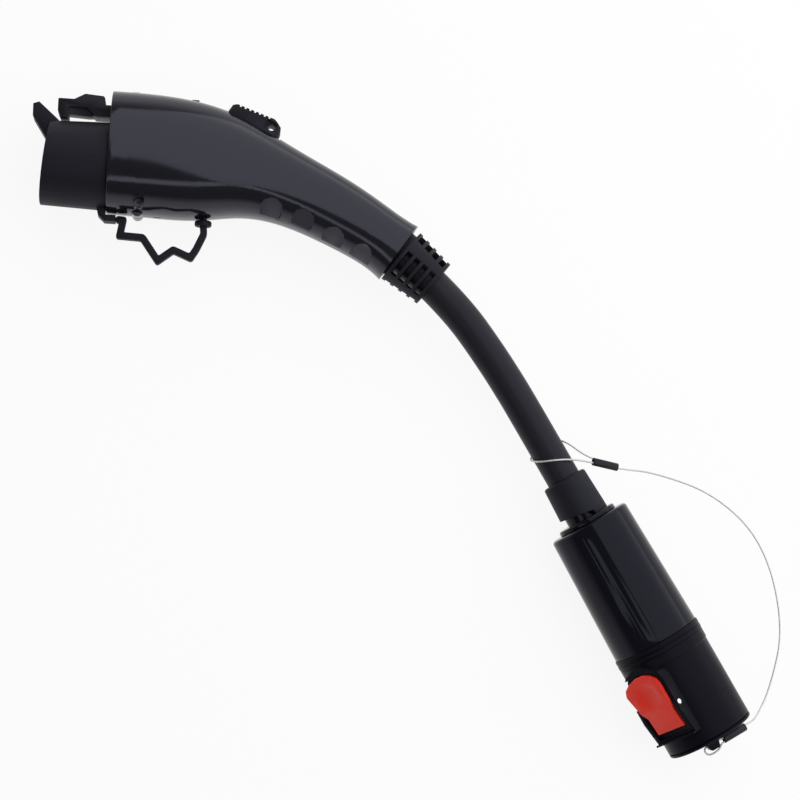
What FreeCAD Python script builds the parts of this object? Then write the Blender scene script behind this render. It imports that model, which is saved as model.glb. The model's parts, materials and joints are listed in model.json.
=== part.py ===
import FreeCAD, Part
import math
import os
import re
import Sketcher
from FreeCAD import Vector

# Charging adapter: a pistol-grip plug, a short thick cable and a round socket.
# It lies on its side: X runs from the plug's nose into the handle, Y points to
# the thumb side and Z up from the floor. The origin is the centre of the nose's
# front face. All sizes are in millimetres and degrees.

doc = FreeCAD.newDocument("charging_adapter")
sheet = doc.addObject("Spreadsheet::Sheet", "sizes")

SIZES = [
    ("gap_run", 0.05, "radial clearance of pins and shafts"),
    ("gap_slip", 0.3, "clearance of parts that slide past each other"),
    ("nose_rad", 21.9, "plug nose, outer radius"),
    ("nose_wall", 2.4, "plug nose, wall"),
    ("nose_len", 30.8, "nose length in front of the housing"),
    ("lip_rad", 22.5, "nose lip behind the front wall"),
    ("lip_len", 2.4, "nose lip, thickness"),
    ("carrier_rad", 18.6, "contact carrier, radius in the nose"),
    ("carrier_front", 5.0, "contact carrier, set back from the nose face"),
    ("carrier_rear", 37.0, "contact carrier, rear face"),
    ("power_z", 7.9, "power contacts, sideways"),
    ("power_y", 6.8, "power contacts, upwards"),
    ("earth_y", 10.6, "earth contact, downwards"),
    ("signal_z", 10.6, "signal contacts, sideways"),
    ("signal_y", 4.0, "signal contacts, downwards"),
    ("power_bore", 1.8, "power contact, bore radius"),
    ("earth_bore", 1.4, "earth contact, bore radius"),
    ("signal_bore", 1.15, "signal contact, bore radius"),
    ("contact_wall", 1.0, "contact sleeve, wall"),
    ("spine_y", 8.2, "handle spine, height above the nose axis at the front"),
    ("spine_straight", 9.4, "handle spine, straight length"),
    ("spine_rad", 283.5, "handle spine, bend radius"),
    ("handle_len", 175.2, "handle length along the spine"),
    ("head_up", 35.0, "housing height above the spine at the front"),
    ("head_down", 34.0, "housing depth below the spine at the front"),
    ("head_half", 27.5, "housing half width at the front"),
    ("shell_wall", 3.0, "handle shell, wall"),
    ("screw_x", 49.0, "front shell screw, along"),
    ("screw_y", -21.4, "front shell screw, height"),
    ("lug_rad", 3.4, "lug under the front screw, radius"),
    ("lug_drop", 3.8, "lug under the front screw, below the screw"),
    ("screw_rad", 1.5, "shell screw, shank radius"),
    ("screw_head", 2.8, "shell screw, head radius"),
    ("scoop_rad", 6.3, "finger scoops, radius"),
    ("scoop_deep", 1.0, "finger scoops, depth"),
    ("latch_low", 27.2, "latch neck, underside"),
    ("latch_high", 34.0, "latch neck, top"),
    ("latch_wide", 13.0, "latch lever, width"),
    ("pivot_x", 70.0, "latch pivot, along"),
    ("pivot_y", 28.5, "latch pivot, height"),
    ("pivot_rad", 2.5, "latch pivot pin, radius"),
    ("pivot_half", 14.0, "latch pivot pin, half length"),
    ("pad_wide", 18.4, "thumb pad, width"),
    ("pad_x", 111.0, "thumb pad, middle along"),
    ("pad_y", 30.0, "thumb pad, middle height"),
    ("pad_half", 15.9, "thumb pad, half length"),
    ("pad_turn", -22.1, "thumb pad, slope"),
    ("pad_floor", 3.6, "thumb pad, seat below the handle's surface"),
    ("lock_rad", 2.3, "padlock hole, radius"),
    ("cap_gap", 0.3, "dust cap, clearance round the nose"),
    ("cap_wall", 1.6, "dust cap, wall at the closed end"),
    ("cap_rim_wall", 2.7, "dust cap, wall at the rim"),
    ("strap_thick", 3.0, "cap strap, thickness"),
    ("strap_wide", 4.6, "cap strap, width"),
    ("boot_dip", 4.5, "cable boot, turn below the handle's own end direction"),
    ("boot_near", 17.1, "cable boot, radius at the handle"),
    ("boot_far", 14.6, "cable boot, radius at the cable end"),
    ("boot_start", 2.2, "cable boot, first ring from the handle end"),
    ("boot_ring", 2.0, "cable boot, ring thickness"),
    ("boot_pitch", 5.6, "cable boot, ring pitch"),
    ("boot_stub", 14.0, "cable boot, radius of the part in the handle"),
    ("boot_roll", 24.0, "cable boot, turn of the ribs"),
    ("cable_rad", 9.75, "main cable, radius"),
    ("socket_x", 312.1, "socket, rear face centre, along"),
    ("socket_y", -186.1, "socket, rear face centre, height"),
    ("socket_z", -1.6, "socket axis, above the handle's middle plane"),
    ("socket_turn", -57.6, "socket, direction"),
    ("socket_roll", 52.0, "socket, turn about its own axis"),
    ("barrel_len", 76.0, "socket barrel, length"),
    ("barrel_rear", 23.65, "socket barrel, radius at the cable end"),
    ("barrel_front", 25.6, "socket barrel, radius at the socket end"),
    ("barrel_wall", 2.6, "socket barrel, wall"),
    ("ring_len", 6.0, "coupling ring, length"),
    ("ring_rad", 26.2, "coupling ring, radius"),
    ("house_len", 54.3, "socket housing, length"),
    ("house_rad", 25.5, "socket housing, radius"),
    ("mouth_rad", 22.3, "socket mouth, radius"),
    ("insert_len", 12.0, "pin insert, length"),
    ("pin_len", 30.0, "socket pins, length"),
    ("sleeve_len", 24.5, "cable sleeve, length"),
    ("disc_rad", 17.5, "gland disc, radius"),
    ("disc_len", 3.0, "gland disc, thickness"),
    ("neck_rad", 11.0, "gland neck, radius"),
    ("lever_back", 26.8, "lock lever pin, behind the coupling ring"),
    ("lever_out", 25.0, "lock lever pin, out from the axis"),
    ("lever_half", 11.8, "lock lever, half width"),
    ("cheek_wall", 2.7, "lever cheeks, thickness"),
    ("lever_pin_rad", 1.4, "lever pin, radius"),
    ("cap_plug_len", 6.0, "socket cap, plug depth"),
    ("cap_flange", 1.7, "socket cap, flange thickness"),
    ("eyelet_len", 7.5, "socket cap, eyelet length"),
    ("rope_rad", 0.55, "lanyard rope, radius"),
    ("crimp_len", 17.0, "crimp sleeve, length"),
]

for row, (name, amount, meaning) in enumerate(SIZES, start=1):
    sheet.set("A%d" % row, meaning)
    sheet.set("B%d" % row, repr(amount))
    sheet.setAlias("B%d" % row, name)
doc.recompute()

NAMES = re.compile(r"\b(" + "|".join(entry[0] for entry in SIZES) + r")\b")


def link(text):
    """Expression text in which each size's name points at its cell."""
    return NAMES.sub(r"sizes.\1", str(text))


def value(text):
    """The number an expression over the sheet's sizes gives now."""
    return float(sheet.evalExpression(link(text)))


def new_body(label):
    body = doc.addObject("PartDesign::Body", label)
    body.Label = label
    return body


def new_sketch(body, role, name, lift=None):
    """Empty sketch on one of the body's own origin planes."""
    sketch = body.newObject("Sketcher::SketchObject", body.Name + "_" + name)
    plane = [item for item in body.Origin.OriginFeatures if item.Role == role][0]
    sketch.AttachmentSupport = [(plane, "")]
    sketch.MapMode = "FlatFace"
    if lift is not None:
        sketch.setExpression("AttachmentOffset.Base.z", link(lift))
    return sketch


def tie(sketch, kind, first, text):
    """Dimension of the sketch that follows the sheet."""
    index = sketch.addConstraint(Sketcher.Constraint(kind, *first, value(text)))
    sketch.setExpression("Constraints[%d]" % index, link(text))


def add_outline(sketch, points):
    """Closed straight-sided outline with every corner dimensioned."""
    base = sketch.GeometryCount
    spots = [Vector(value(across), value(up), 0) for across, up in points]
    count = len(spots)
    for index in range(count):
        sketch.addGeometry(Part.LineSegment(spots[index], spots[(index + 1) % count]))
    for index in range(count):
        ends = (base + index, 2, base + (index + 1) % count, 1)
        sketch.addConstraint(Sketcher.Constraint("Coincident", *ends))
    for index, (across, up) in enumerate(points):
        tie(sketch, "DistanceX", (-1, 1, base + index, 1), across)
        tie(sketch, "DistanceY", (-1, 1, base + index, 1), up)


def add_circle(sketch, across, up, radius):
    centre = Vector(value(across), value(up), 0)
    index = sketch.addGeometry(Part.Circle(centre, Vector(0, 0, 1), value(radius)))
    tie(sketch, "DistanceX", (-1, 1, index, 3), across)
    tie(sketch, "DistanceY", (-1, 1, index, 3), up)
    tie(sketch, "Radius", (index,), radius)


def revolve(label, points, body=None, kind="Revolution"):
    """Turned piece: outline of (along X, radius) points taken about the X axis."""
    body = body or new_body(label)
    sketch = new_sketch(body, "XY_Plane", label + "_profile")
    add_outline(sketch, points)
    turned = body.newObject("PartDesign::" + kind, label + "_turned")
    turned.Profile = sketch
    turned.ReferenceAxis = (sketch, ["H_Axis"])
    turned.Angle = 360
    sketch.Visibility = False
    body.Tip = turned
    return body


def extrude(body, sketch, length, kind="Pad", side="Symmetric", back=False):
    feature = body.newObject("PartDesign::" + kind, sketch.Name + "_" + kind.lower())
    feature.Profile = sketch
    feature.setExpression("Length", link(length))
    feature.SideType = side
    feature.Reversed = back
    sketch.Visibility = False
    body.Tip = feature
    return feature


def prism(label, role, points, length, circles=(), body=None, kind="Pad", side="Symmetric",
          lift=None, back=False):
    """Straight-sided piece, or a cut of that form when kind is Pocket."""
    body = body or new_body(label)
    sketch = new_sketch(body, role, label + "_face", lift)
    if points:
        add_outline(sketch, points)
    for circle in circles:
        add_circle(sketch, *circle)
    extrude(body, sketch, length, kind, side, back)
    return body


def repeat(body, feature, count):
    """Copies of one feature turned about the body's X axis."""
    axis = [item for item in body.Origin.OriginFeatures if item.Role == "X_Axis"][0]
    pattern = body.newObject("PartDesign::PolarPattern", feature.Name + "_copies")
    pattern.Originals = [feature]
    pattern.Axis = (axis, [""])
    pattern.Angle = 360
    pattern.Occurrences = count
    body.Tip = pattern


def place(item, move, *turns):
    """Placement from expressions: a position and turns about the axes in order."""
    spins = " * ".join("rotation(vector(%s); %s)" % (axis, angle) for axis, angle in turns)
    spins = spins or "rotation(vector(0; 0; 1); 0)"
    text = "placement(vector(%s; %s; %s); %s)" % (*move, spins)
    item.setExpression("Placement", link(text))


def solid(label, shape, move=("0", "0", "0"), *turns):
    """Free-form piece whose shape is worked out from the sheet's sizes."""
    item = doc.addObject("Part::Feature", label)
    item.Label = label
    item.Shape = shape
    place(item, move, *turns)
    return item


def box(low, high):
    size = [top - bottom for bottom, top in zip(low, high)]
    return Part.makeBox(size[0], size[1], size[2], Vector(*low))


def rod(radius, start, end):
    run = Vector(*end) - Vector(*start)
    return Part.makeCylinder(radius, run.Length, Vector(*start), run)


def route(points, short=None):
    """Straight runs joined by tangent arcs, and the arcs' radii.

    The mapping short gives a smaller trim at the corners that it names.
    """
    edges = []
    radii = []
    spots = [Vector(*point) for point in points]
    start = spots[0]
    for index in range(1, len(spots) - 1):
        corner = spots[index]
        into = corner - spots[index - 1]
        out = spots[index + 1] - corner
        trim = min(0.45 * min(into.Length, out.Length), (short or {}).get(index, math.inf))
        half = into.getAngle(out) / 2
        into.normalize()
        out.normalize()
        radius = trim / math.tan(half)
        first = corner - into * trim
        last = corner + out * trim
        middle = corner + (out - into).normalize() * (radius / math.cos(half) - radius)
        edges.append(Part.LineSegment(start, first).toShape())
        edges.append(Part.Arc(first, middle, last).toShape())
        radii.append(round(radius, 1))
        start = last
    edges.append(Part.LineSegment(start, spots[-1]).toShape())
    return Part.Wire(edges), radii


def swept(points, radius, name, short=None):
    """Round cord along a route, with its radii and volume printed."""
    path, radii = route(points, short)
    first = Vector(*points[1]) - Vector(*points[0])
    circle = Part.makeCircle(radius, Vector(*points[0]), first)
    shape = path.makePipeShell([Part.Wire([circle])], True, False)
    ideal = math.pi * radius ** 2 * path.Length
    print(name, "length", round(path.Length, 1), "arc radii", radii,
          "volume share", round(shape.Volume / ideal, 4))
    return shape


# Handle: sections stand square to a spine that runs straight and then bends down.
# Each station gives its share of the handle's length, the shares of the front
# section's height, depth and half width there, and how much its top narrows.
STATIONS = [
    (0.000, 1.000, 1.020, 1.000, 0.14),
    (0.116, 1.000, 1.030, 0.999, 0.14),
    (0.244, 0.990, 1.000, 0.990, 0.13),
    (0.346, 0.938, 0.900, 0.942, 0.12),
    (0.450, 0.822, 0.725, 0.855, 0.10),
    (0.555, 0.696, 0.604, 0.775, 0.08),
    (0.685, 0.608, 0.553, 0.716, 0.06),
    (0.834, 0.546, 0.521, 0.692, 0.04),
    (1.000, 0.537, 0.538, 0.690, 0.02),
]
LINING = (STATIONS[0], STATIONS[2], STATIONS[4], STATIONS[6], STATIONS[8])
POINTS_ROUND = 12
SQUARENESS = 2.3


def spine(along):
    """Point of the handle's spine and the direction there."""
    straight = value("spine_straight")
    radius = value("spine_rad")
    bend = max(along - straight, 0.0) / radius
    ahead = value("nose_len") + min(along, straight) + radius * math.sin(bend)
    height = value("spine_y") - radius * (1 - math.cos(bend))
    return Vector(ahead, height, 0), Vector(math.cos(bend), -math.sin(bend), 0)


def section(station, inset, along=None):
    """Closed curve round the handle at one station, drawn in by the inset."""
    share, up, down, half, narrow = station
    centre, forward = spine(share * value("handle_len") if along is None else along)
    upward = Vector(-forward.y, forward.x, 0)
    up = up * value("head_up") - inset
    down = down * value("head_down") - inset
    half = half * value("head_half") - inset
    spots = []
    for index in range(POINTS_ROUND):
        turn = 2 * math.pi * index / POINTS_ROUND
        cosine = math.cos(turn)
        sine = math.sin(turn)
        across = math.copysign(abs(cosine) ** (2 / SQUARENESS), cosine)
        height = math.copysign(abs(sine) ** (2 / SQUARENESS), sine)
        reach = half * across * (1 - narrow * sine)
        spots.append(centre + upward * (height * (up if sine > 0 else down))
                     + Vector(0, 0, reach))
    curve = Part.BSplineCurve()
    steps = [index / POINTS_ROUND for index in range(POINTS_ROUND + 1)]
    curve.interpolate(Points=spots, Parameters=steps, PeriodicFlag=True)
    return Part.Wire([curve.toShape()])


def handle_form(inset, front=0.0, rear=0.0, stations=STATIONS):
    """Handle's body drawn in by the inset; front and rear move its two ends."""
    wires = [section(station, inset) for station in stations[1:-1]]
    length = value("handle_len")
    wires.insert(0, section(stations[0], inset, front))
    wires.append(section(stations[-1], inset, length + rear))
    return Part.makeLoft(wires, True, False)


WALL = value("shell_wall")
INNER = handle_form(WALL, WALL, WALL, LINING)
OUTER = handle_form(0)
MID_WALL = handle_form(WALL / 2, WALL / 2, 0, LINING)
# Finger scoops: how far along the spine and how far below it each one lies.
SCOOPS = [(98.6, 16.6), (118.3, 15.0), (138.9, 16.0), (158.2, 16.2)]
SCREWS = [((value("screw_x"), value("screw_y")), 1), ((99.0, -12.5), -1)]
SHELF_TOP = 7.5
SWITCH_FLOOR = 11.5
STUD_X = 85.3
STUD_RAD = 2.0
STUD_HEAD = 2.8
BUTTON_RAD = 4.8
WIDE = 60.0
BOOT_AT, END_DIR = spine(value("handle_len"))
END_BEND = "(handle_len - spine_straight) / spine_rad * 180 / pi"
BOOT_TURN = "(0 - %s - boot_dip)" % END_BEND
BOOT_DIR = Vector(math.cos(math.radians(value(BOOT_TURN))),
                  math.sin(math.radians(value(BOOT_TURN))), 0)
ENTRY = BOOT_AT - BOOT_DIR * 8
INWARD_TURN = 28.0
INWARD = Vector(-math.cos(math.radians(INWARD_TURN)), math.sin(math.radians(INWARD_TURN)), 0)


def joined(shape, parts):
    """Shape with the parts fused to it one after the other."""
    for part in parts:
        shape = shape.fuse(part)
    return shape


def trimmed(shape, cuts):
    """Shape with the cuts taken out one after the other."""
    for cut in cuts:
        shape = shape.cut(cut)
    return shape


def on_pad(along, above):
    """Expressions for a point given in the thumb pad's own sloping frame."""
    return ("pad_x + (%s) * cos(pad_turn) - (%s) * sin(pad_turn)" % (along, above),
            "pad_y + (%s) * sin(pad_turn) + (%s) * cos(pad_turn)" % (along, above))


def flank(across, up):
    """Height of the handle's near flank over a point of the middle plane."""
    reach = OUTER.common(Part.makeLine(Vector(across, up, 0), Vector(across, up, WIDE)))
    return reach.BoundBox.ZMax


BELLY = min(OUTER.common(Part.makeLine(Vector(across, -WIDE, 0), Vector(across, 0, 0))).BoundBox.YMin
            for across in (STUD_X - BUTTON_RAD, STUD_X, STUD_X + BUTTON_RAD))
BUTTON_TOP = BELLY - 0.4


def scoop(along, below):
    """Finger scoop: a flat-floored disc let into both flanks of the grip."""
    centre, forward = spine(along)
    across = centre.x + forward.y * below
    up = centre.y - forward.x * below
    top = flank(across, up)
    inner = flank(across - forward.y, up + forward.x)
    ahead = flank(across - forward.x, up - forward.y)
    rise = (inner - top, top - ahead)
    slope = Vector(forward.y * rise[0] - forward.x * rise[1],
                   -forward.x * rise[0] - forward.y * rise[1], 1)
    slope.x, slope.y = [part * min(1, 1.6 / math.hypot(slope.x, slope.y)) for part in slope[:2]]
    disc = rod(value("scoop_rad"), (across, up, -WIDE), (across, up, WIDE))
    cuts = []
    for side in (1, -1):
        facing = Vector(slope.x, slope.y, side).normalize()
        floor = Vector(across, up, top * side) - facing * value("scoop_deep")
        block = Part.makeBox(WIDE, WIDE, WIDE, Vector(-WIDE / 2, -WIDE / 2, 0))
        block.Placement = FreeCAD.Placement(floor, FreeCAD.Rotation(Vector(0, 0, 1), facing))
        cuts.append(disc.common(block))
    return cuts


def handle_shell():
    """Both halves in one, before the split at the middle plane."""
    front = value("nose_len")
    screw = (value("screw_x"), value("screw_y"))
    low = screw[1] - value("lug_drop")
    lug = rod(value("lug_rad"), (screw[0] - 0.8, low, -7), (screw[0] - 0.8, low, 7))
    nubs = [box((across - 2, up - 4, -2), (across + 2, up, 2))
            for across, up in ((43.7, 43.6), (77.2, 41.6))]
    shell = joined(OUTER, [lug] + nubs).cut(INNER)
    half_slot = value("latch_wide") / 2 + 1.1
    wall_low = value("latch_low") - 0.9
    wall_high = value("latch_high") + 5.5
    openings = [
        rod(value("nose_rad") + value("gap_run"), (front - 1, 0, 0), (front + WALL + 1, 0, 0)),
        box((front - 1, wall_low, -half_slot), (front + WALL + 1, wall_high, half_slot)),
        box((57.2, -29.5, -0.8), (61.2, -25.4, 0.8)),
        rod(STUD_RAD + value("gap_run"), (STUD_X, BELLY - 5, 0), (STUD_X, BELLY + 10, 0)),
    ]
    half_pad = value("pad_wide") / 2 + 0.6
    reach = value("pad_half")
    window = box((-reach - 0.6, -9, -half_pad), (reach + 1.6, 16, half_pad))
    window.Placement = FreeCAD.Placement(
        Vector(value("pad_x"), value("pad_y"), 0),
        FreeCAD.Rotation(Vector(0, 0, 1), value("pad_turn")))
    openings.append(window)
    for along, below in SCOOPS:
        openings.extend(scoop(along, below))
    return trimmed(shell, openings)


def inside_parts(side):
    """Posts and shelves moulded inside one half, and the holes through them."""
    pivot = (value("pivot_x"), value("pivot_y"))
    hub = value("latch_wide") / 2 + 1.0
    added = [rod(5.0, (*pivot, hub * side), (*pivot, WIDE * side))]
    added += [rod(3.8, (*spot, 0), (*spot, WIDE * side)) for spot, _ in SCREWS]
    low = min(0, WIDE * side)
    high = max(0, WIDE * side)
    added.append(box((95, 4.5, low), (105, SHELF_TOP, high)))
    added.append(box((75, 9.0, low), (91, SWITCH_FLOOR, high)))
    cable = rod(value("cable_rad") + 4.2, tuple(ENTRY + INWARD * 45), tuple(ENTRY + INWARD * 20))
    rib = ENTRY.x - 35.6
    added.append(box((rib, -60, min(2 * side, WIDE * side)),
                     (rib + 3, 30, max(2 * side, WIDE * side))).cut(cable))
    posts = [MID_WALL.common(part) for part in added]
    holes = [rod(value("pivot_rad") + value("gap_run"), (*pivot, 0),
                 (*pivot, (value("pivot_half") + 0.2) * side))]
    shank = value("screw_rad") + value("gap_run")
    for spot, from_side in SCREWS:
        holes.append(rod(shank, (*spot, 0), (*spot, (6 if side == from_side else 10) * side)))
        if side == from_side:
            holes.append(rod(value("screw_head") + 0.2, (*spot, 5.5 * side), (*spot, WIDE * side)))
    return posts, holes


WHOLE_SHELL = handle_shell()
for label, side in (("handle_shell_near", 1), ("handle_shell_far", -1)):
    keep = box((0, -120, min(0, side * WIDE)), (240, 80, max(0, side * WIDE)))
    posts, holes = inside_parts(side)
    solid(label, trimmed(joined(WHOLE_SHELL.common(keep), posts), holes))

# Nose, contacts and dust cap, all turned about the nose axis.
NOSE_BORE = "nose_rad - nose_wall"
LIP_START = "nose_len + shell_wall + gap_run"
revolve("nose_shell", [
    ("0.8", NOSE_BORE), ("0", NOSE_BORE + " + 0.8"), ("0", "nose_rad - 0.6"), ("0.6", "nose_rad"),
    (LIP_START, "nose_rad"), (LIP_START, "lip_rad"), (LIP_START + " + lip_len", "lip_rad"),
    (LIP_START + " + lip_len", NOSE_BORE),
])

CONTACTS = [
    ("contact_l1", "power_y", "power_z", "power_bore"),
    ("contact_l2", "power_y", "-power_z", "power_bore"),
    ("contact_earth", "-earth_y", "0", "earth_bore"),
    ("contact_pilot", "-signal_y", "signal_z", "signal_bore"),
    ("contact_proximity", "-signal_y", "-signal_z", "signal_bore"),
]
carrier = revolve("contact_carrier", [
    ("carrier_front", "0"), ("carrier_front", "carrier_rad - 1"), ("carrier_front + 1", "carrier_rad"),
    ("nose_len", "carrier_rad"), ("nose_len", NOSE_BORE + " - gap_run"),
    ("carrier_rear", NOSE_BORE + " - gap_run"), ("carrier_rear", "0"),
])
prism("contact_holes", "YZ_Plane", [], "100", body=carrier, kind="Pocket", circles=[
    (up, across, bore + " + contact_wall + gap_run") for _, up, across, bore in CONTACTS])
for label, up, across, bore in CONTACTS:
    sleeve = revolve(label, [
        ("carrier_front + 1", bore), ("carrier_front + 1", bore + " + contact_wall"),
        ("carrier_rear + 6", bore + " + contact_wall"), ("carrier_rear + 6", "0"),
        ("carrier_rear - 4", "0"), ("carrier_rear - 4", bore),
    ])
    place(sleeve, ("0", up, across))

CAP_BORE = "nose_rad + cap_gap"
cap = revolve("nose_cap", [
    ("-7.4", "0"), ("-7.4", CAP_BORE + " + cap_wall - 1.2"), ("-6.2", CAP_BORE + " + cap_wall"),
    ("nose_len - 0.5", CAP_BORE + " + cap_rim_wall"), ("nose_len - 0.5", CAP_BORE),
    ("-0.5", CAP_BORE), ("-0.5", "0"),
])
prism("end_slant", "XY_Plane", [("-12", "30"), ("-2.1", "30"), ("-7.1", "-30"), ("-12", "-30")],
      "60", body=cap, kind="Pocket")
prism("pull_tab", "XY_Plane", [
    ("-13.3", "nose_rad + 10.1"), ("-10", "nose_rad + 11.4"), ("1.6", CAP_BORE + " + 1.2"),
    ("1.6", CAP_BORE + " + 0.4"), ("-1.2", CAP_BORE + " - 1.2"), ("-1.2", "nose_rad - 10.4"),
    ("-4.0", "nose_rad - 10.4"), ("-13.1", "nose_rad + 3.3"),
], "14", body=cap)
prism("rim_lug", "XY_Plane", [
    ("nose_len - 6", "-nose_rad - 0.6"), ("nose_len - 4.5", "-nose_rad - 6.5"),
    ("nose_len - 0.8", "-nose_rad - 9.8"), ("nose_len + 5.4", "-nose_rad - 9.8"),
    ("nose_len + 5.4", "-nose_rad - 6.2"), ("nose_len - 0.5", "-nose_rad - 6.2"),
    ("nose_len - 0.5", "-nose_rad - 0.6"),
], "9", body=cap)

# Corners of the cap's strap, from the end of the rim's lug and from its stud.
LUG_END = Vector(value("nose_len + 5.43"), value("-nose_rad - 8"), 0)
STUD_END = Vector(STUD_X, BUTTON_TOP - 1.4, 0)
STRAP = [LUG_END + Vector(*step, 0) for step in (
    (0, 0), (4.5, 0), (3.0, -9.2), (15.8, -9.6), (25.0, -21.9))]
STRAP += [STUD_END + Vector(*step, 0) for step in (
    (-15.8, -16.4), (-6.1, -20.2), (-3.0, -15.0), (0.7, -6.4), (0, -0.6))]


def strap_shape():
    """Zigzag rubber strip from the cap's lug to the button round its stud."""
    path, radii = route([tuple(spot) for spot in STRAP])
    start = STRAP[0]
    ahead = (STRAP[1] - start).normalize()
    side = Vector(-ahead.y, ahead.x, 0) * (value("strap_thick") / 2)
    rise = Vector(0, 0, value("strap_wide") / 2)
    corners = [start + side + rise, start + side - rise, start - side - rise, start - side + rise]
    strip = path.makePipeShell([Part.makePolygon(corners + corners[:1])], True, False)
    print("strap length", round(path.Length, 1), "arc radii", radii, "volume share",
          round(strip.Volume / path.Length / value("strap_thick * strap_wide"), 4))
    button = rod(BUTTON_RAD, (STUD_X, BUTTON_TOP - 3.0, 0), (STUD_X, BUTTON_TOP, 0))
    entry = rod(STUD_RAD + 0.2, (STUD_X, BUTTON_TOP - 2, 0), (STUD_X, BUTTON_TOP + 1, 0))
    room = rod(STUD_HEAD + 0.2, (STUD_X, BUTTON_TOP - 2.2, 0), (STUD_X, BUTTON_TOP - 0.9, 0))
    return trimmed(strip.fuse(button), [entry, room])


solid("nose_cap_strap", strap_shape())
stud = revolve("strap_stud", [
    ("0", "0"), ("0", "3.2"), ("1.5", "3.2"), ("1.5", STUD_RAD), ("8.0", STUD_RAD),
    ("8.0", STUD_HEAD), ("8.8", STUD_HEAD - 0.8), ("8.8", "0"),
])
place(stud, (str(STUD_X), "%r + shell_wall + 3.5" % BELLY, "0"), ("0; 0; 1", "-90"))

# Latch: one lever from the hook in front to the arm that carries the thumb pad.
ARM_TOP = "-pad_floor"
ARM_LOW = "-pad_floor - 3"
lever = prism("latch_lever", "XY_Plane", [
    ("2.3", "latch_low - 1.8"), ("6.7", "latch_low - 1.8"), ("6.7", "latch_low + 4.6"),
    ("16.8", "latch_low + 4.4"), ("21.5", "latch_low"), ("pivot_x - 8", "latch_low"),
    ("pivot_x - 4.5", "pivot_y - 5"), ("pivot_x + 4.5", "pivot_y - 5"),
    ("pivot_x + 8", "pivot_y - 2.5"), on_pad("-pad_half - 1", ARM_LOW),
    ("97.2", "pivot_y - 1.6"), ("97.2", "pivot_y - 4.1"), ("102.8", "pivot_y - 4.1"),
    on_pad("pad_half - 1.4", ARM_LOW), on_pad("pad_half - 1.2", ARM_TOP),
    on_pad("-pad_half + 0.4", ARM_TOP), ("92", "pivot_y + 2"), ("pivot_x + 6", "pivot_y + 5"),
    ("pivot_x - 6", "latch_high"), ("nose_len - 3.8", "latch_high"),
    ("nose_len - 4.4", "latch_high + 4.2"), ("nose_len - 5.2", "latch_high + 5.0"),
    ("15.3", "latch_high + 5.7"), ("9.3", "latch_high + 2.3"), ("0.9", "latch_high + 2.3"),
    ("0.4", "latch_high + 1.8"), ("0.5", "latch_low + 2"),
], "latch_wide")
prism("latch_web", "XY_Plane", [
    ("6.2", "latch_low + 5"), ("6.2", "latch_low + 0.9"), ("17.8", "latch_low + 0.3"),
    ("21.3", "latch_low + 0.6"), ("17.5", "latch_low + 5")], "latch_wide - 4", body=lever)
prism("pivot_hole", "XY_Plane", [], "40", body=lever, kind="Pocket",
      circles=[("pivot_x", "pivot_y", "pivot_rad + gap_run")])
pin = prism("latch_pivot_pin", "XY_Plane", [], "pivot_half * 2",
            circles=[("0", "0", "pivot_rad")])
place(pin, ("pivot_x", "pivot_y", "0"))

pad = prism("thumb_pad", "XY_Plane", [
    ("-pad_half", "-pad_floor"), ("-pad_half", "-0.1"), ("-pad_half + 0.8", "3.5"),
    ("-pad_half + 3.4", "4.7"), ("pad_half - 5.9", "6.0"), ("pad_half - 1.2", "3.8"),
    ("pad_half", "0.6"), ("pad_half", "-pad_floor"),
], "pad_wide")
GROOVES = 7
ribs = new_sketch(pad, "XY_Plane", "pad_ribs")
for index in range(GROOVES):
    left = "-pad_half + 4.6 + 2.9 * %d" % index
    top = "4.7 + 1.3 * (2.9 * %d + 1.8) / (2 * pad_half - 9.3)" % index
    add_outline(ribs, [(left, top + " - 0.9"), (left + " + 1.1", top + " - 0.9"),
                       (left + " + 1.1", "9"), (left, "9")])
extrude(pad, ribs, "60", kind="Pocket")
plan = new_sketch(pad, "XZ_Plane", "pad_plan")
add_outline(plan, [("-40", "-40"), ("40", "-40"), ("40", "40"), ("-40", "40")])
rear = [("pad_half - %s * (1 - cos(%d))" % ("pad_wide * 0.42", turn),
         "pad_wide * 0.08 * %s + pad_wide * 0.42 * sin(%d)" % (math.copysign(1, turn), turn))
        for turn in (-90, -60, -30, -5, 5, 30, 60, 90)]
front = [("-pad_half + 2.5", "pad_wide / 2"), ("-pad_half", "pad_wide / 2 - 2.5"),
         ("-pad_half", "-pad_wide / 2 + 2.5"), ("-pad_half + 2.5", "-pad_wide / 2")]
add_outline(plan, rear + front)
extrude(pad, plan, "60", kind="Pocket")
for side in ("1", "-1"):
    prism("lock_recess_" + ("near" if side == "1" else "far"), "XY_Plane", [
        ("pad_half - 10", "-1.2"), ("pad_half - 2.4", "-1.2"), ("pad_half - 1.6", "1.0"),
        ("pad_half - 2.6", "3.9"), ("pad_half - 9", "4.4"), ("pad_half - 10", "3.4"),
    ], "4", body=pad, kind="Pocket", lift="%s * (pad_wide / 2)" % side)
prism("lock_hole", "XY_Plane", [], "60", body=pad, kind="Pocket",
      circles=[("pad_half - 6", "1.7", "lock_rad")])
place(pad, ("pad_x", "pad_y", "0"), ("0; 0; 1", "pad_turn"))


def coil(radius, wire, height, turns):
    """Compression spring: a round wire on a helix that stands along Z."""
    helix = Part.makeHelix(height / turns, height, radius)
    circle = Part.makeCircle(wire, Vector(radius, 0, 0), Vector(0, 1, 0))
    return Part.Wire(helix.Edges).makePipeShell([Part.Wire([circle])], True, True)


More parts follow.
